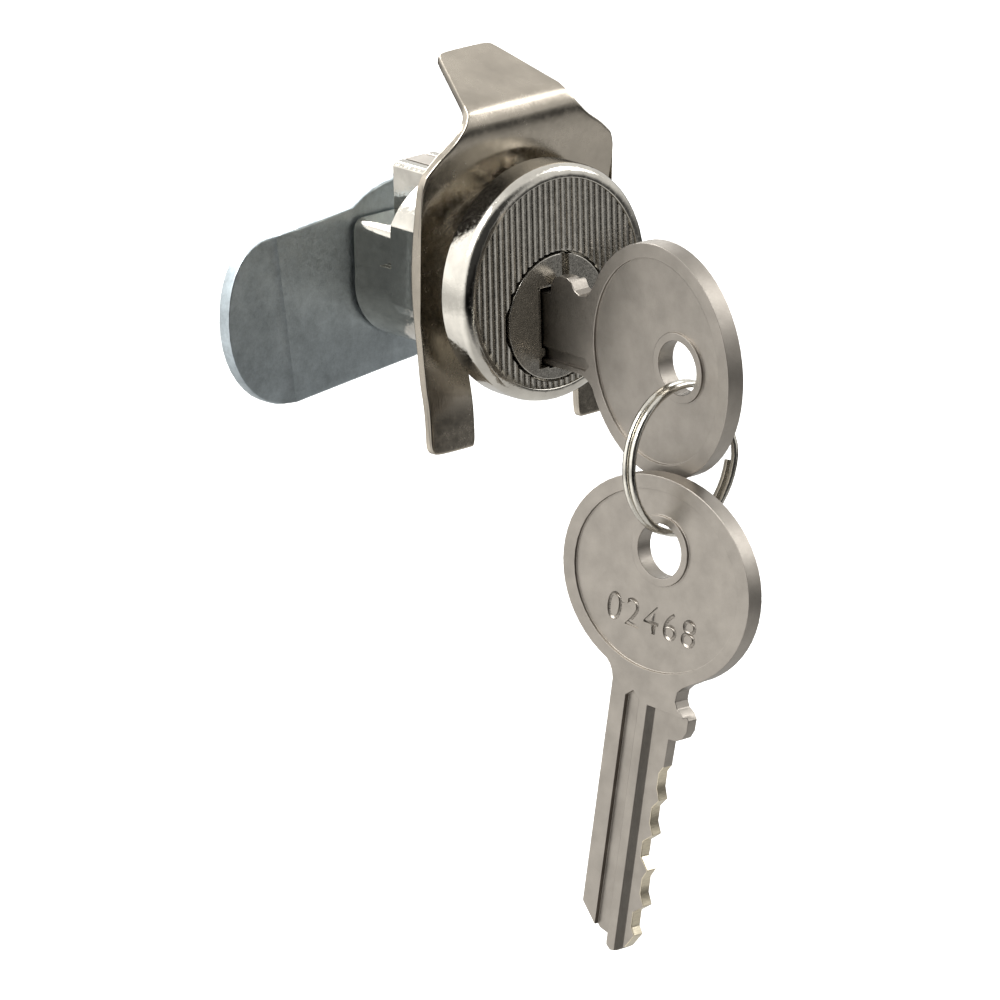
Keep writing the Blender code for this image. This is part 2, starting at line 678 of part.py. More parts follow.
def spring_clip():
    """A horseshoe of strip: grid of the flat blank, bent to its side view, then thickened."""
    side = clip_side()
    reach = [0.0]
    for low, high in zip(side, side[1:]):
        reach.append(reach[-1] + math.dist(low, high))
    base = look_up([(point[1], s) for point, s in zip(side, reach)], CLIP_ARCH_Z)
    edge = clip_edge(reach[-1], reach[17])
    depth = [(s, point[0]) for s, point in zip(reach, side)]
    rise = [(s, point[1]) for s, point in zip(reach, side)]
    bm = bmesh.new()
    rows = []
    for s in clip_levels(reach, edge, base):
        inner = clip_inner(s, base)
        outer = look_up(edge, s)
        spread = [inner + (outer - inner) * step / 3 for step in range(4)]
        where = (look_up(depth, s), look_up(rise, s))
        right = [bm.verts.new((x, *where)) for x in spread]
        left = [bm.verts.new((-x, *where)) for x in spread] if inner > 1e-4 else None
        if left is None:
            left = [right[0]] + [bm.verts.new((-x, *where)) for x in spread[1:]]
        rows.append((right, left))
    for low, high in zip(rows, rows[1:]):
        for column in (0, 1):
            for step in range(3):
                corners = [low[column][step], low[column][step + 1],
                           high[column][step + 1], high[column][step]]
                bm.faces.new(corners if column == 0 else corners[::-1])
    shift = Vector((0.0, 2.0, 0.0))
    for vert in bm.verts:
        vert.co = (vert.co - shift) * MM
    mesh = bpy.data.meshes.new("spring_clip")
    bm.to_mesh(mesh)
    bm.free()
    mesh.materials.append(bpy.data.materials["clip_steel"])
    obj = bpy.data.objects.new("spring_clip", mesh)
    obj.location = shift * MM
    PARTS.objects.link(obj)
    thick = obj.modifiers.new("Thickness", "SOLIDIFY")
    thick.thickness = CLIP_T * MM
    thick.offset = -1.0
    thick.use_even_offset = True
    return obj


def build():
    for name, settings in MATERIALS.items():
        make_material(name, settings)
    lock_housing()
    pin_chamber_cover()
    lock_plug()
    for index in range(PIN_COUNT):
        key_pin(index)
        driver_pin(index)
        pin_spring(index)
    cam()
    lock_washer()
    cam_nut()
    spring_clip()
    home = home_place()
    make_key("key_in_lock", home, tuple(home.translation))
    split_ring()
    place, _, hang = spare_place()
    make_key("spare_key", place, tuple(hang))


clear_scene()
PARTS = make_collection("cam_lock")
CUTTERS = make_collection("cutters")
build()
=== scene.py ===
"""Looks of a mailbox cam lock, laid out as a Blender add-on and run as a script.

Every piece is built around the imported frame: it copies or surrounds a CAD node, gets rounded edges
and the marks of how it was made, and rides on the body of that node. Lengths are in metres.
"""

import json
import math

import bpy
from mathutils import Matrix, Vector

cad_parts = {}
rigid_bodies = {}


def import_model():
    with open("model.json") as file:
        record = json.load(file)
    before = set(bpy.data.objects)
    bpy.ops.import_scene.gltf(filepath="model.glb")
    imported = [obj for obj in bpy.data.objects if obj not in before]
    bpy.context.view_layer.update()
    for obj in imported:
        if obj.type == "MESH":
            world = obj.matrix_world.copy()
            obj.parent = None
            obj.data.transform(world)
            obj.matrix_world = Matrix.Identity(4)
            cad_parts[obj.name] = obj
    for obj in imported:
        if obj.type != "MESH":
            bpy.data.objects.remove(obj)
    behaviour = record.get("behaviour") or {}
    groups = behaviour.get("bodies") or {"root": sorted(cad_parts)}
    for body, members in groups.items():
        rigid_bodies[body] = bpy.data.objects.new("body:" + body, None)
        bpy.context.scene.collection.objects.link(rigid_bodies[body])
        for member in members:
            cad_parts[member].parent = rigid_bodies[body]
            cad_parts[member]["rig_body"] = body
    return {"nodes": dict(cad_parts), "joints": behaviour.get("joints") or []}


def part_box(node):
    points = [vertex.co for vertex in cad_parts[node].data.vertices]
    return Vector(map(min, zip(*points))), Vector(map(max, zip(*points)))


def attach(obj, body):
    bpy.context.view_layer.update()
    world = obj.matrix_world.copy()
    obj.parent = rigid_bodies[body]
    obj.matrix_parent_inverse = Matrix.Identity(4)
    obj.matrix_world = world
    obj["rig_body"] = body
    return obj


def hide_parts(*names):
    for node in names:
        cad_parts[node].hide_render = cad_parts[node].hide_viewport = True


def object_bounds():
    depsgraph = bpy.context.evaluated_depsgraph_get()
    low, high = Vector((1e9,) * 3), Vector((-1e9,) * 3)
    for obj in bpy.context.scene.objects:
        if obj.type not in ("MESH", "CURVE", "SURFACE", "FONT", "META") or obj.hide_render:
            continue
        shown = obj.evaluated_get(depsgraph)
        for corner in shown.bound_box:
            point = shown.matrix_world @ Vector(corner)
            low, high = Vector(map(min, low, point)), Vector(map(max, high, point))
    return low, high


bl_info = {
    "name": "Cam Lock Looks",
    "version": (1, 0, 0),
    "blender": (4, 5, 0),
    "location": "View3D > Sidebar > Cam Lock",
    "description": "Builds the visible pieces, finishes and stage of a mailbox cam lock",
    "category": "Object",
}

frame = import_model()
CAD_BOX = [list(corner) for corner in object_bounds()]

MM = 0.001
PIN_STACKS = 5

# The plug turns about this line, parallel to Y; the head is centred on the row's origin
PLUG_Z = -3.35 * MM
HEAD_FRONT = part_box("lock_housing")[0].y

# Loose triangles of a CAD node are joined over gaps up to this
MERGE = 0.002 * MM
# How far a cutting tool reaches past the metal it cuts, and how round a cylinder is
REACH = 1.0 * MM
ROD_SIDES = 96

# Reeds on the head: depth of a crest below the rim, height of a reed, and the flat share of its width
CREST_DEPTH = 0.14 * MM
REED_HEIGHT = 0.34 * MM
CREST_SHARE = 0.32
# The reeds stop short of the rim, sink a little into the field's floor and leave the plug free
REEDS_SHORT_OF_RIM = 0.03 * MM
REEDS_SUNK = 0.02 * MM
PLUG_FREE_RADIUS = 6.62 * MM

# Radii on the edges of the small pieces
STRIP_ROUND = 0.04 * MM
WASHER_ROUND = 0.12 * MM
NUT_ROUND = 0.15 * MM

# Press line on the cam's blade, and how near an edge has to lie to be part of it
CREASE_FROM_TIP = 9.2 * MM
CREASE_LEAN = math.radians(1.6)
CREASE_TOOL_HEIGHT = 60.0 * MM
CREASE_NEAR = 0.05 * MM

# Clip: its facets are joined over wider gaps and stay smooth across bends up to this many degrees
CLIP_MERGE = 0.06 * MM
CLIP_FLAT = 0.05
CLIP_BEND = 50.0

# Key, measured from the centre of its ring hole
BOW_BEHIND_HOLE = 7.4 * MM
BOW_HALF_WIDTH = 11.85 * MM
CUTS_FROM = 20.5 * MM
CUTS_ABOVE = 2.1 * MM
CUTS_FACING = 0.25
# The hanging key: its hole's centre below the wire, and the way its blade points
HOLE_BELOW_WIRE = 1.75 * MM
HANG_ALONG = (-0.104, 0.102, -0.989)
# Digits stamped into the flat field of its bow; a digit is this share of the font's size
DIGITS = "02468"
DIGITS_FROM_HOLE = 7.3 * MM
DIGIT_SHARE = 0.7
DIGIT_SPACING = 1.15
FIELD_LEVEL = 0.72 * MM
STAMP_DEPTH = 0.24 * MM

# Degrees up to which the ring's wire is shaded smooth
WIRE_SMOOTH = 60.0

# Studio: a high key at the left, a fill at the right and a strip behind, each with its place,
# its aim, its size and its power
LIGHTS = (
    ("key_light", (-0.75, 0.1, 0.85), (0, 0, 0), (0.7, 0.7), 14.0),
    ("fill_light", (0.85, -0.45, 0.6), (0, 0, 0), (0.5, 0.7), 3.5),
    ("rear_light", (0.2, 0.9, 0.6), (0, 0, 0), (0.9, 0.4), 8.0),
)
ROOM_COLOUR = (1.0, 0.99, 0.97, 1.0)
# Brightness of the room by height, from straight down at 0 to straight up at 1
ROOM_TONES = ((0.0, 0.75), (1.0, 1.0), (0.3, 0.65), (0.34, 0.1), (0.4, 0.07), (0.45, 0.35), (0.5, 0.8),
              (0.7, 1.0))
# A tall softbox at the left, added to the room
SOFTBOX_SIDE = (-0.9, 0.43, 0.0)
SOFTBOX_LEVEL = 0.85
SOFTBOX_EDGE = (0.42, 0.85)
# The unlit side, where the camera stands
DARK_SIDE = (-0.32, -0.93, 0.18)
DARK_LEVEL = 0.06
DARK_EDGE = (0.6, 0.82)
FLOOR_SIZE = 8.0
FLOOR_DROP = 0.10
# Camera: degrees of azimuth, lift and roll round the plug's face, then metres, millimetres of lens
# and sensor, and the shift of the plug's face from the middle of the frame
VIEW_ANGLES = (-40.60, 17.43, -1.41)
VIEW_DISTANCE = 0.9
VIEW_LENS = 329.4
VIEW_SENSOR = 36.0
VIEW_NEAREST = 0.01
VIEW_OFFSET = (5.759 * MM, 18.061 * MM)


class CamLockSizes(bpy.types.PropertyGroup):
    """Sizes of the looks, shown in the sidebar"""

    reed_pitch: bpy.props.FloatProperty(
        name="Reed pitch", description="Spacing of the upright reeds on the head",
        default=0.74 * MM, min=0.4 * MM, max=2.0 * MM, unit="LENGTH")
    field_radius: bpy.props.FloatProperty(
        name="Field radius", description="Radius of the reeded field inside the head's bright rim",
        default=10.6 * MM, min=8.0 * MM, max=11.5 * MM, unit="LENGTH")
    field_depth: bpy.props.FloatProperty(
        name="Field depth", description="Depth of the field's floor below the rim's crest",
        default=0.55 * MM, min=0.1 * MM, max=1.0 * MM, unit="LENGTH")
    cast_round: bpy.props.FloatProperty(
        name="Casting edge", description="Radius on the edges of the cast body",
        default=0.09 * MM, min=0.02 * MM, max=0.6 * MM, unit="LENGTH")
    plug_round: bpy.props.FloatProperty(
        name="Plug edge", description="Radius on the edges of the plug",
        default=0.1 * MM, min=0.02 * MM, max=0.4 * MM, unit="LENGTH")
    key_round: bpy.props.FloatProperty(
        name="Key edge", description="Radius on the edges of the keys",
        default=0.08 * MM, min=0.02 * MM, max=0.4 * MM, unit="LENGTH")
    sheet_round: bpy.props.FloatProperty(
        name="Sheet edge", description="Radius on the edges of the cam and the clip",
        default=0.2 * MM, min=0.02 * MM, max=0.4 * MM, unit="LENGTH")
    digit_height: bpy.props.FloatProperty(
        name="Digit height", description="Height of the digits stamped into the hanging key",
        default=2.9 * MM, min=1.0 * MM, max=5.0 * MM, unit="LENGTH")


class CamLockColours(bpy.types.PropertyGroup):
    """Base colours of the metals and the floor"""

    cast_nickel: bpy.props.StringProperty(
        name="Cast nickel", description="sRGB hex of the nickel on the die casting", default="#CFCBC2")
    clip_nickel: bpy.props.StringProperty(
        name="Clip nickel", description="sRGB hex of the satin nickel on the spring clip",
        default="#B7AFA2")
    key_nickel: bpy.props.StringProperty(
        name="Key nickel", description="sRGB hex of the satin nickel on the keys", default="#9F9991")
    cut_metal: bpy.props.StringProperty(
        name="Cut metal", description="sRGB hex of the bare cut edges of the keys", default="#D9CFB8")
    zinc: bpy.props.StringProperty(
        name="Zinc", description="sRGB hex of the bluish zinc on the cam", default="#BFC9CE")
    brass: bpy.props.StringProperty(
        name="Brass", description="sRGB hex of the turned brass pins", default="#D8B46A")
    wire: bpy.props.StringProperty(
        name="Wire", description="sRGB hex of the split ring's bright nickel", default="#DAD6CC")
    floor: bpy.props.StringProperty(
        name="Floor", description="sRGB hex of the pale floor", default="#F6F6F5")


def linear(code):
    """An sRGB hex value as a linear colour with full alpha."""
    channels = [int(code[i:i + 2], 16) / 255 for i in (1, 3, 5)]
    return tuple(c / 12.92 if c <= 0.04045 else ((c + 0.055) / 1.055) ** 2.4 for c in channels) + (1.0,)


def tone(code, factor):
    """The linear colour of a hex value, made darker or lighter by a factor."""
    return tuple(min(1.0, c * factor) for c in linear(code)[:3]) + (1.0,)


def add_node(tree, kind, settings=None, links=None):
    """One shader node: settings go to its properties or sockets, links join other nodes' outputs."""
    node = tree.nodes.new(kind)
    for key, value in (settings or {}).items():
        if isinstance(key, str) and hasattr(node, key):
            setattr(node, key, value)
        else:
            node.inputs[key].default_value = value
    for key, source in (links or {}).items():
        tree.links.new(source, node.inputs[key])
    return node


def new_metal(name, colour, roughness):
    """A Principled metal with its constant values on its own sockets."""
    mat = bpy.data.materials.new(name)
    mat.use_nodes = True
    tree = mat.node_tree
    shader = tree.nodes["Principled BSDF"]
    shader.inputs["Base Color"].default_value = colour
    shader.inputs["Metallic"].default_value = 1.0
    shader.inputs["Roughness"].default_value = roughness
    place = add_node(tree, "ShaderNodeTexCoord").outputs["Object"]
    return mat, tree, shader, place


def ramp(tree, source, low, high, stops=(0.0, 1.0)):
    """A colour ramp from one colour to another over a part of its input."""
    node = add_node(tree, "ShaderNodeValToRGB", links={"Fac": source})
    node.color_ramp.elements[0].position = stops[0]
    node.color_ramp.elements[1].position = stops[1]
    node.color_ramp.elements[0].color = low
    node.color_ramp.elements[1].color = high
    return node.outputs["Color"]


def tint(tree, shader, source, code, dark, light, start, end):
    """The base colour as a hex value that source darkens and lightens between two of its levels."""
    shade_ramp = ramp(tree, source, tone(code, dark), tone(code, light), (start, end))
    tree.links.new(shade_ramp, shader.inputs["Base Color"])


def spread(tree, source, low, high, from_low=0.0, from_high=1.0):
    """A number stretched from one range to another."""
    node = add_node(tree, "ShaderNodeMapRange",
                    {"From Min": from_low, "From Max": from_high, "To Min": low, "To Max": high},
                    {"Value": source})
    return node.outputs["Result"]


def noise(tree, place, size, detail=3.0, rough=0.55, stretch=(1.0, 1.0, 1.0)):
    """Noise whose lumps are about size metres across, drawn out by stretch."""
    scale = [1.0 / (size * s) for s in stretch]
    spot = add_node(tree, "ShaderNodeMapping", {"Scale": scale}, {"Vector": place})
    return add_node(tree, "ShaderNodeTexNoise", {"Scale": 1.0, "Detail": detail, "Roughness": rough},
                    {"Vector": spot.outputs["Vector"]}).outputs["Fac"]


def bump(tree, height, distance, strength=1.0, under=None):
    """A bump whose full height is distance metres, on top of another normal."""
    links = {"Height": height}
    if under is not None:
        links["Normal"] = under
    return add_node(tree, "ShaderNodeBump", {"Strength": strength, "Distance": distance},
                    links).outputs["Normal"]


def plated_casting(colours):
    """Bright nickel on a zinc die casting: mirror gloss over the mould's faint waves and pits."""
    mat, tree, shader, place = new_metal(
        "bright_nickel_on_zinc_casting", linear(colours.cast_nickel), 0.16)
    waves = noise(tree, place, 2.2 * MM, detail=2.0)
    pits = noise(tree, place, 0.35 * MM, detail=4.0, rough=0.6)
    tint(tree, shader, waves, colours.cast_nickel, 0.86, 1.05, 0.3, 0.7)
    tree.links.new(spread(tree, pits, 0.07, 0.18, 0.35, 0.7), shader.inputs["Roughness"])
    normal = bump(tree, waves, 0.05 * MM, 0.35)
    normal = bump(tree, spread(tree, pits, 0.0, 1.0, 0.55, 0.75), 0.02 * MM, 0.35, normal)
    tree.links.new(normal, shader.inputs["Normal"])
    return mat


def cast_field(colours):
    """Nickel over an as-cast face that was never buffed: grainy, so its gloss breaks up."""
    mat, tree, shader, place = new_metal(
        "satin_nickel_on_cast_field", linear(colours.cast_nickel), 0.3)
    grain = noise(tree, place, 0.22 * MM, detail=4.0, rough=0.65)
    lumps = noise(tree, place, 0.9 * MM, detail=2.0)
    tint(tree, shader, lumps, colours.cast_nickel, 0.66, 0.95, 0.25, 0.75)
    tree.links.new(spread(tree, grain, 0.16, 0.36, 0.3, 0.7), shader.inputs["Roughness"])
    normal = bump(tree, lumps, 0.04 * MM, 0.4)
    normal = bump(tree, grain, 0.015 * MM, 0.5, normal)
    tree.links.new(normal, shader.inputs["Normal"])
    return mat


def rolled_spring_steel(colours):
    """Satin nickel on rolled spring steel: warm grey with fine grain along the strip."""
    mat, tree, shader, place = new_metal(
        "satin_nickel_on_spring_steel", linear(colours.clip_nickel), 0.24)
    grain = noise(tree, place, 0.16 * MM, detail=3.0, stretch=(1.0, 1.0, 14.0))
    cloud = noise(tree, place, 5.0 * MM, detail=3.0)
    rub = noise(tree, place, 0.7 * MM, detail=4.0, rough=0.7)
    tint(tree, shader, cloud, colours.clip_nickel, 0.78, 1.08, 0.3, 0.7)
    level = add_node(tree, "ShaderNodeMath", {"operation": "ADD"},
                     {0: spread(tree, cloud, 0.12, 0.24, 0.3, 0.7),
                      1: spread(tree, rub, 0.0, 0.1, 0.4, 0.7)})
    tree.links.new(level.outputs["Value"], shader.inputs["Roughness"])
    normal = bump(tree, cloud, 0.12 * MM, 0.25)
    normal = bump(tree, grain, 0.012 * MM, 0.5, normal)
    tree.links.new(normal, shader.inputs["Normal"])
    return mat


def zinc_plate(colours):
    """Bright zinc on pressed steel: bluish and cloudy, with tumbling scuffs and rolled grain."""
    mat, tree, shader, place = new_metal("blue_zinc_on_pressed_steel", linear(colours.zinc), 0.34)
    cloud = noise(tree, place, 2.4 * MM, detail=6.0, rough=0.78)
    speck = noise(tree, place, 0.5 * MM, detail=4.0, rough=0.7)
    scuff = noise(tree, place, 0.3 * MM, detail=3.0, stretch=(9.0, 1.0, 1.2))
    tint(tree, shader, cloud, colours.zinc, 0.62, 1.04, 0.32, 0.68)
    level = add_node(tree, "ShaderNodeMath", {"operation": "ADD"},
                     {0: spread(tree, speck, 0.38, 0.52, 0.35, 0.65),
                      1: spread(tree, cloud, 0.08, -0.04, 0.35, 0.65)})
    tree.links.new(level.outputs["Value"], shader.inputs["Roughness"])
    normal = bump(tree, cloud, 0.05 * MM, 0.3)
    normal = bump(tree, speck, 0.012 * MM, 0.3, normal)
    normal = bump(tree, scuff, 0.01 * MM, 0.4, normal)
    tree.links.new(normal, shader.inputs["Normal"])
    return mat


def key_plate(colours):
    """Satin nickel on a pressed brass blank: tumbled, so a fine frost lies over soft clouds."""
    mat, tree, shader, place = new_metal(
        "satin_nickel_on_brass_blank", linear(colours.key_nickel), 0.32)
    frost = noise(tree, place, 0.14 * MM, detail=3.0, rough=0.6)
    cloud = noise(tree, place, 2.6 * MM, detail=3.0)
    tint(tree, shader, cloud, colours.key_nickel, 0.84, 1.05, 0.3, 0.7)
    tree.links.new(spread(tree, frost, 0.32, 0.48, 0.3, 0.7), shader.inputs["Roughness"])
    normal = bump(tree, cloud, 0.08 * MM, 0.25)
    normal = bump(tree, frost, 0.014 * MM, 0.6, normal)
    tree.links.new(normal, shader.inputs["Normal"])
    return mat


def key_cut(colours):
    """Key metal bared by the cutting wheel: lines across the edge and a warmer, brighter tone."""
    mat, tree, shader, place = new_metal("cut_key_metal", linear(colours.cut_metal), 0.28)
    lines = noise(tree, place, 0.12 * MM, detail=2.0, stretch=(10.0, 1.0, 1.0))
    tint(tree, shader, lines, colours.cut_metal, 0.82, 1.05, 0.3, 0.7)
    tree.links.new(bump(tree, lines, 0.02 * MM, 0.5), shader.inputs["Normal"])
    return mat


def bright_wire(colours):
    """Bright nickel on drawn wire: glossy, with hair-fine rub marks where coils meet."""
    mat, tree, shader, place = new_metal("bright_nickel_on_wire", linear(colours.wire), 0.14)
    rub = noise(tree, place, 0.2 * MM, detail=3.0, stretch=(1.0, 0.3, 1.0))
    tint(tree, shader, rub, colours.wire, 0.8, 1.02, 0.35, 0.65)
    tree.links.new(spread(tree, rub, 0.08, 0.24, 0.35, 0.7), shader.inputs["Roughness"])
    tree.links.new(bump(tree, rub, 0.008 * MM, 0.5), shader.inputs["Normal"])
    return mat


def turned_brass(colours):
    """Free-cutting brass off a lathe: fine rings round each pin."""
    mat, tree, shader, place = new_metal("turned_brass", linear(colours.brass), 0.24)
    rings = noise(tree, place, 0.1 * MM, detail=2.0, stretch=(12.0, 12.0, 1.0))
    tint(tree, shader, rings, colours.brass, 0.8, 1.04, 0.3, 0.7)
    tree.links.new(bump(tree, rings, 0.01 * MM, 0.5), shader.inputs["Normal"])
    return mat


def pale_floor(colours):
    """Matt painted board with a barely visible tooth."""
    mat = bpy.data.materials.new("matt_white_board")
    mat.use_nodes = True
    tree = mat.node_tree
    shader = tree.nodes["Principled BSDF"]
    shader.inputs["Roughness"].default_value = 0.9
    place = add_node(tree, "ShaderNodeTexCoord").outputs["Object"]
    tooth = noise(tree, place, 6.0 * MM)
    pale = ramp(tree, tooth, tone(colours.floor, 0.985), linear(colours.floor), (0.3, 0.7))
    tree.links.new(pale, shader.inputs["Base Color"])
    return mat


FINISHES = {
    "casting": plated_casting,
    "field": cast_field,
    "clip": rolled_spring_steel,
    "zinc": zinc_plate,
    "key": key_plate,
    "cut": key_cut,
    "wire": bright_wire,
    "brass": turned_brass,
    "floor": pale_floor,
}
made = {}


def finish(name):
    """The named finish, made once."""
    if name not in made:
        made[name] = FINISHES[name](bpy.context.scene.cam_lock_colours)
    return made[name]


def only(obj):
    """Leave this one object selected and active."""
    if bpy.context.object and bpy.context.object.mode != "OBJECT":
        bpy.ops.object.mode_set(mode="OBJECT")
    bpy.ops.object.select_all(action="DESELECT")
    obj.hide_set(False)
    obj.select_set(True)
    bpy.context.view_layer.objects.active = obj


def settle(obj):
    """Put an object's place and turn into its mesh."""
    only(obj)
    bpy.ops.object.transform_apply(location=True, rotation=True, scale=True)


def copy_node(node, name, merge=MERGE, flat=1.0):
    """A piece that starts as a CAD node's own shape, with its loose triangles merged to clean faces."""
    source = frame["nodes"][node]
    obj = bpy.data.objects.new(name, source.data.copy())
    bpy.context.scene.collection.objects.link(obj)
    obj.data.materials.clear()
    only(obj)
    bpy.ops.object.mode_set(mode="EDIT")
    bpy.ops.mesh.select_all(action="SELECT")
    bpy.ops.mesh.remove_doubles(threshold=merge)
    bpy.ops.mesh.dissolve_limited(angle_limit=math.radians(flat))
    bpy.ops.object.mode_set(mode="OBJECT")
    return obj


def apply(obj, kind, **settings):
    """Add a modifier, set it and apply it."""
    only(obj)
    mod = obj.modifiers.new(kind.title(), kind)
    for key, value in settings.items():
        setattr(mod, key, value)
    bpy.ops.object.modifier_apply(modifier=mod.name)


def round_edges(obj, width, angle=32.0, segments=2):
    """Soften each edge sharper than the angle."""
    apply(obj, "BEVEL", width=width, segments=segments, limit_method="ANGLE",
          angle_limit=math.radians(angle), use_clamp_overlap=False)


def shade(obj, angle=28.0):
    """Smooth the rounded parts and keep flat faces flat."""
    only(obj)
    bpy.ops.object.shade_smooth_by_angle(angle=math.radians(angle))
    apply(obj, "WEIGHTED_NORMAL", weight=90, keep_sharp=True)


def carve(obj, tool, operation="DIFFERENCE"):
    """Cut a piece with a tool, or keep what the two share, and take the tool away."""
    settle(tool)
    apply(obj, "BOOLEAN", operation=operation, solver="EXACT", object=tool)
    bpy.data.objects.remove(tool, do_unlink=True)


def rod(radius, y_from, y_to, z=0.0):
    """A cylinder along Y at height z, added at its size and place."""
    bpy.ops.object.select_all(action="DESELECT")
    bpy.ops.mesh.primitive_cylinder_add(
        vertices=ROD_SIDES, radius=radius, depth=y_to - y_from,
        location=(0.0, (y_from + y_to) / 2, z), rotation=(math.radians(90), 0, 0))
    settle(bpy.context.object)
    return bpy.context.object


def pick_faces(obj, test):
    """Go to edit mode with only the faces that pass the test selected."""
    only(obj)
    bpy.ops.object.mode_set(mode="EDIT")
    bpy.ops.mesh.select_mode(type="FACE")
    bpy.ops.mesh.select_all(action="DESELECT")
    bpy.ops.object.mode_set(mode="OBJECT")
    for face in obj.data.polygons:
        face.select = test(face)
    bpy.ops.object.mode_set(mode="EDIT")


def hand_over(obj, node, finish_name, extra=()):
    """Give a finished piece its metal and its body, and hide the CAD node it stands for."""
    only(obj)
    if not obj.data.materials:
        obj.data.materials.append(finish(finish_name))
    body = frame["nodes"][node]["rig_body"]
    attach(obj, body)
    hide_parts(node, *extra)


class CAMLOCK_OT_housing(bpy.types.Operator):
    """Cast body with its rounded head, the cover strip over its pins, and the reeded field"""

    bl_idname = "camlock.housing"
    bl_label = "Lock housing"

    def execute(self, context):
        sizes = context.scene.cam_lock_sizes
        obj = copy_node("lock_housing", "lock_body")
        carve(obj, rod(sizes.field_radius, HEAD_FRONT - REACH, HEAD_FRONT + sizes.field_depth))
        round_edges(obj, sizes.cast_round, segments=3)
        shade(obj)
        hand_over(obj, "lock_housing", "casting")
        strip = copy_node("pin_chamber_cover", "chamber_strip")
        round_edges(strip, STRIP_ROUND)
        shade(strip)
        hand_over(strip, "pin_chamber_cover", "key")
        self.reeds(sizes)
        return {"FINISHED"}

    def reeds(self, sizes):
        """One reed is shaped, copied across the head, and trimmed to the round field."""
        floor = HEAD_FRONT + sizes.field_depth
        crest = HEAD_FRONT + CREST_DEPTH
        valley = crest + REED_HEIGHT
        half = sizes.field_radius + sizes.reed_pitch
        bpy.ops.object.select_all(action="DESELECT")
        bpy.ops.mesh.primitive_cube_add(size=1.0, location=(-half, (floor + valley) / 2, 0),
                                        scale=(sizes.reed_pitch, floor - valley, 2 * half))
        reed = bpy.context.object
        reed.name = "reeded_field"
        settle(reed)
        pick_faces(reed, lambda face: face.normal.y < -0.9)
        bpy.ops.mesh.extrude_region_move(TRANSFORM_OT_translate={"value": (0, crest - valley, 0)})
        bpy.ops.transform.resize(value=(CREST_SHARE, 1, 1), center_override=(-half, crest, 0))
        bpy.ops.object.mode_set(mode="OBJECT")
        count = int(2 * half / sizes.reed_pitch) + 1
        apply(reed, "ARRAY", count=count, use_relative_offset=False, use_constant_offset=True,
              constant_offset_displace=(sizes.reed_pitch, 0, 0), use_merge_vertices=True,
              merge_threshold=MERGE)
        # The walls where two reeds meet are inside the metal, so only the two outer ones stay
        pick_faces(reed, lambda face: (abs(face.normal.x) > 0.99
                                       and abs(face.center.x) < half - 0.1 * MM))
        bpy.ops.mesh.delete(type="FACE")
        bpy.ops.mesh.select_all(action="SELECT")
        bpy.ops.mesh.normals_make_consistent(inside=False)
        bpy.ops.object.mode_set(mode="OBJECT")
        disc = rod(sizes.field_radius - REEDS_SHORT_OF_RIM, HEAD_FRONT - REACH, floor + REEDS_SUNK)
        carve(reed, disc, "INTERSECT")
        carve(reed, rod(PLUG_FREE_RADIUS, HEAD_FRONT - REACH, floor + REACH, z=PLUG_Z))
        only(reed)
        bpy.ops.object.shade_flat()
        reed.data.materials.append(finish("field"))
        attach(reed, "housing")


class CAMLOCK_OT_plug(bpy.types.Operator):
    """Turning plug: cast face with a pocket round the keyway, and the threaded tail"""

    bl_idname = "camlock.plug"
    bl_label = "Plug"

    def execute(self, context):
        sizes = context.scene.cam_lock_sizes
        obj = copy_node("lock_plug", "turning_plug")
        round_edges(obj, sizes.plug_round)
        shade(obj)
        hand_over(obj, "lock_plug", "field")
        return {"FINISHED"}


class CAMLOCK_OT_cam(bpy.types.Operator):
    """Pressed cam with rounded edges, and the washer and nut that hold it"""

    bl_idname = "camlock.cam"
    bl_label = "Cam, washer and nut"

    def execute(self, context):
        sizes = context.scene.cam_lock_sizes
        for node, name, width in (("cam", "pressed_cam", sizes.sheet_round),
                                  ("lock_washer", "spring_washer", WASHER_ROUND),
                                  ("cam_nut", "hex_nut", NUT_ROUND)):
            obj = copy_node(node, name)
            round_edges(obj, width)
            if node == "cam":
                self.crease(obj)
            shade(obj)
            hand_over(obj, node, "zinc")
        return {"FINISHED"}

    def crease(self, obj):
        """The press leaves the front of the tip leaning back a little from a line across the blade."""
        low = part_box("cam")[0]
        bpy.ops.object.select_all(action="DESELECT")
        bpy.ops.mesh.primitive_cube_add(size=1.0, location=(low.x, low.y - REACH, low.z),
                                        scale=(2 * CREASE_FROM_TIP, 2 * REACH, CREASE_TOOL_HEIGHT))
        tool = bpy.context.object
        settle(tool)
        bpy.ops.transform.rotate(value=CREASE_LEAN, orient_axis="Z",
                                 center_override=(low.x + CREASE_FROM_TIP, low.y, low.z))
        carve(obj, tool)
        for edge in obj.data.edges:
            ends = [obj.data.vertices[index].co for index in edge.vertices]
            edge.select = all(abs(end.x - low.x - CREASE_FROM_TIP) < CREASE_NEAR
                              and end.y < low.y + CREASE_NEAR for end in ends)
        bpy.ops.object.mode_set(mode="EDIT")
        bpy.ops.mesh.select_mode(type="EDGE")
        bpy.ops.mesh.mark_sharp()
        bpy.ops.object.mode_set(mode="OBJECT")


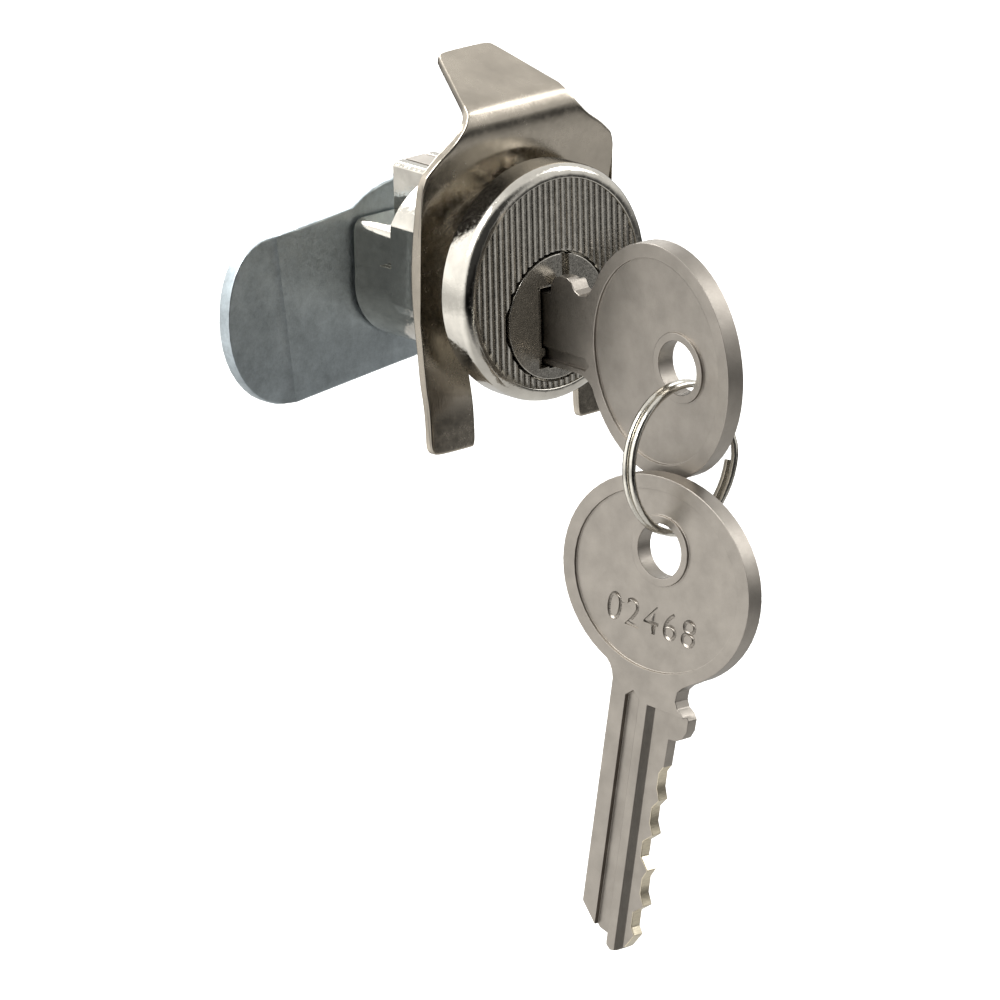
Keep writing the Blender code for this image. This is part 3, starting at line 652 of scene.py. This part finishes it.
class CAMLOCK_OT_clip(bpy.types.Operator):
    """Horseshoe spring clip with rolled, softened edges"""

    bl_idname = "camlock.clip"
    bl_label = "Spring clip"

    def execute(self, context):
        sizes = context.scene.cam_lock_sizes
        obj = copy_node("spring_clip", "horseshoe_clip", merge=CLIP_MERGE, flat=CLIP_FLAT)
        only(obj)
        bpy.ops.object.mode_set(mode="EDIT")
        bpy.ops.mesh.select_all(action="SELECT")
        bend = math.radians(CLIP_BEND)
        bpy.ops.mesh.tris_convert_to_quads(face_threshold=bend, shape_threshold=bend)
        bpy.ops.object.mode_set(mode="OBJECT")
        round_edges(obj, sizes.sheet_round, angle=CLIP_BEND, segments=3)
        apply(obj, "SUBSURF", levels=2, render_levels=2)
        shade(obj, CLIP_BEND)
        hand_over(obj, "spring_clip", "clip")
        return {"FINISHED"}


def key_matrix(spot, thick, along):
    """The key's own frame: X through its thickness, Y from the ring hole to the tip, Z to its cuts."""
    turn = Matrix((thick, along, thick.cross(along))).transposed().to_4x4()
    return Matrix.Translation(spot) @ turn


def home_key_place():
    """Where the key in the lock sits, with its blade straight into the plug."""
    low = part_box("key_in_lock")[0]
    spot = Vector((0, low.y + BOW_BEHIND_HOLE, low.z + BOW_HALF_WIDTH))
    return key_matrix(spot, Vector((1, 0, 0)), Vector((0, 1, 0)))


def hanging_key_place():
    """Where the loose key hangs on the ring, square to the axis it swings about."""
    swing = [joint for joint in frame["joints"] if joint["name"] == "spare_key_swing"][0]
    thick = Vector(swing["axis"]).normalized()
    along = Vector(HANG_ALONG).normalized()
    along = (along - thick * along.dot(thick)).normalized()
    return key_matrix(Vector(swing["pos_m"]) + along * HOLE_BELOW_WIRE, thick, along)


class CAMLOCK_OT_keys(bpy.types.Operator):
    """Both keys: softened rims, bared cuts, and digits stamped into the hanging one"""

    bl_idname = "camlock.keys"
    bl_label = "Keys"

    def execute(self, context):
        sizes = context.scene.cam_lock_sizes
        for node, name, place in (("key_in_lock", "working_key", home_key_place()),
                                  ("spare_key", "hanging_key", hanging_key_place())):
            obj = copy_node(node, name)
            round_edges(obj, sizes.key_round)
            if node == "spare_key":
                self.stamp(obj, place, sizes.digit_height)
            shade(obj)
            obj.data.materials.append(finish("key"))
            obj.data.materials.append(finish("cut"))
            self.bare_cuts(obj, place.inverted())
            hand_over(obj, node, "key")
        return {"FINISHED"}

    def stamp(self, obj, place, height):
        """Generic digits pressed into the field between the ring hole and the blade."""
        bpy.ops.object.select_all(action="DESELECT")
        bpy.ops.object.text_add(location=(0, 0, 0))
        text = bpy.context.object
        text.data.body = DIGITS
        text.data.size = height / DIGIT_SHARE
        text.data.align_x = "CENTER"
        text.data.align_y = "CENTER"
        text.data.space_character = DIGIT_SPACING
        text.data.extrude = 0.5 * STAMP_DEPTH
        bpy.ops.object.convert(target="MESH")
        text = bpy.context.object
        across = Matrix(((0, 0, 1), (0, -1, 0), (1, 0, 0))).to_4x4()
        text.matrix_world = place @ Matrix.Translation((FIELD_LEVEL, DIGITS_FROM_HOLE, 0)) @ across
        settle(text)
        pick_faces(text, lambda face: True)
        bpy.ops.mesh.remove_doubles(threshold=0.001 * MM)
        bpy.ops.mesh.normals_make_consistent(inside=False)
        bpy.ops.object.mode_set(mode="OBJECT")
        carve(obj, text)

    def bare_cuts(self, obj, back):
        """Faces of the bitting, picked by where they lie in the key's own frame."""
        turn = back.to_3x3()
        for face in obj.data.polygons:
            spot, normal = back @ face.center, turn @ face.normal
            if spot.y > CUTS_FROM and spot.z > CUTS_ABOVE and normal.z > CUTS_FACING:
                face.material_index = 1


class CAMLOCK_OT_ring(bpy.types.Operator):
    """Split ring of two coils of bright wire"""

    bl_idname = "camlock.ring"
    bl_label = "Split ring"

    def execute(self, context):
        obj = copy_node("split_ring", "wire_ring")
        only(obj)
        bpy.ops.object.shade_smooth_by_angle(angle=math.radians(WIRE_SMOOTH))
        hand_over(obj, "split_ring", "wire")
        return {"FINISHED"}


class CAMLOCK_OT_pins(bpy.types.Operator):
    """Finishes of the pins and springs inside the casting"""

    bl_idname = "camlock.pins"
    bl_label = "Pins and springs"

    def execute(self, context):
        for kind, name in (("key_pin", "brass"), ("driver_pin", "brass"), ("pin_spring", "wire")):
            for index in range(1, PIN_STACKS + 1):
                for place in frame["nodes"]["%s_%d" % (kind, index)].material_slots:
                    place.material = finish(name)
        return {"FINISHED"}


class CAMLOCK_OT_stage(bpy.types.Operator):
    """Pale floor, soft lights and the camera"""

    bl_idname = "camlock.stage"
    bl_label = "Stage"

    def execute(self, context):
        self.floor(context)
        self.sky(context)
        for place in LIGHTS:
            self.lamp(context, *place)
        self.camera(context)
        return {"FINISHED"}

    def floor(self, context):
        bpy.ops.object.select_all(action="DESELECT")
        bpy.ops.mesh.primitive_plane_add(size=FLOOR_SIZE, location=(0, 0, CAD_BOX[0][2] - FLOOR_DROP))
        floor = context.object
        floor.name = "floor"
        settle(floor)
        floor.data.materials.append(finish("floor"))
        floor.visible_glossy = False

    def sky(self, context):
        """Studio room that the metal mirrors: white overhead, dim low down, dark by the camera."""
        world = bpy.data.worlds.new("studio_room")
        context.scene.world = world
        world.use_nodes = True
        tree = world.node_tree
        back = tree.nodes["Background"]
        place = add_node(tree, "ShaderNodeTexCoord").outputs["Generated"]
        height = add_node(tree, "ShaderNodeSeparateXYZ", links={"Vector": place}).outputs["Z"]
        heights = add_node(tree, "ShaderNodeValToRGB", links={"Fac": spread(tree, height, 0, 1, -1, 1)})
        stops = heights.color_ramp.elements
        for index, (spot, level) in enumerate(ROOM_TONES):
            stop = stops[index] if index < 2 else stops.new(spot)
            stop.position = spot
            stop.color = (level, level, level, 1.0)
        toward = add_node(tree, "ShaderNodeVectorMath", {"operation": "DOT_PRODUCT", 1: SOFTBOX_SIDE},
                          {0: place}).outputs["Value"]
        softbox = spread(tree, toward, 0.0, SOFTBOX_LEVEL, *SOFTBOX_EDGE)
        ahead = add_node(tree, "ShaderNodeVectorMath", {"operation": "DOT_PRODUCT", 1: DARK_SIDE},
                         {0: place}).outputs["Value"]
        level = add_node(tree, "ShaderNodeMath", {"operation": "MULTIPLY_ADD"},
                         {0: heights.outputs["Color"],
                          1: spread(tree, ahead, 1.0, DARK_LEVEL, *DARK_EDGE), 2: softbox})
        back.inputs["Color"].default_value = ROOM_COLOUR
        tree.links.new(level.outputs["Value"], back.inputs["Strength"])
        context.scene.view_settings.view_transform = "Standard"

    def lamp(self, context, name, place, aim, size, power):
        data = bpy.data.lights.new(name, "AREA")
        data.shape = "RECTANGLE"
        data.size, data.size_y = size
        data.energy = power
        obj = bpy.data.objects.new(name, data)
        context.scene.collection.objects.link(obj)
        obj.location = place
        obj.rotation_euler = (Vector(aim) - Vector(place)).to_track_quat("-Z", "Y").to_euler()

    def camera(self, context):
        azimuth, lift, roll = (math.radians(v) for v in VIEW_ANGLES)
        back = Vector((math.sin(azimuth) * math.cos(lift), -math.cos(azimuth) * math.cos(lift),
                       math.sin(lift)))
        right = Vector((math.cos(azimuth), math.sin(azimuth), 0))
        up = back.cross(right)
        right, up = (right * math.cos(roll) + up * math.sin(roll),
                     up * math.cos(roll) - right * math.sin(roll))
        data = bpy.data.cameras.new("camera")
        data.sensor_width = VIEW_SENSOR
        data.lens = VIEW_LENS
        data.clip_start = VIEW_NEAREST
        obj = bpy.data.objects.new("camera", data)
        context.scene.collection.objects.link(obj)
        spot = Vector((0, HEAD_FRONT, PLUG_Z)) - right * VIEW_OFFSET[0] - up * VIEW_OFFSET[1]
        turn = Matrix((right, up, back)).transposed().to_4x4()
        obj.matrix_world = Matrix.Translation(spot + back * VIEW_DISTANCE) @ turn
        context.scene.camera = obj


OPERATORS = (CAMLOCK_OT_housing, CAMLOCK_OT_plug, CAMLOCK_OT_cam, CAMLOCK_OT_clip, CAMLOCK_OT_keys,
             CAMLOCK_OT_ring, CAMLOCK_OT_pins, CAMLOCK_OT_stage)


class CAMLOCK_PT_panel(bpy.types.Panel):
    """Sidebar list of the lock's pieces, sizes and colours"""

    bl_idname = "CAMLOCK_PT_panel"
    bl_label = "Cam Lock"
    bl_space_type = "VIEW_3D"
    bl_region_type = "UI"
    bl_category = "Cam Lock"

    def draw(self, context):
        column = self.layout.column()
        for operator in OPERATORS:
            column.operator(operator.bl_idname)
        for group in (context.scene.cam_lock_sizes, context.scene.cam_lock_colours):
            for name in group.bl_rna.properties.keys():
                if name not in ("rna_type", "name"):
                    column.prop(group, name)


CLASSES = (CamLockSizes, CamLockColours, *OPERATORS, CAMLOCK_PT_panel)


def register():
    for cls in CLASSES:
        bpy.utils.register_class(cls)
    bpy.types.Scene.cam_lock_sizes = bpy.props.PointerProperty(type=CamLockSizes)
    bpy.types.Scene.cam_lock_colours = bpy.props.PointerProperty(type=CamLockColours)


def unregister():
    del bpy.types.Scene.cam_lock_colours
    del bpy.types.Scene.cam_lock_sizes
    for cls in reversed(CLASSES):
        bpy.utils.unregister_class(cls)


def main():
    register()
    for operator in OPERATORS:
        getattr(bpy.ops.camlock, operator.bl_idname.split(".")[1])()


if __name__ == "__main__":
    main()
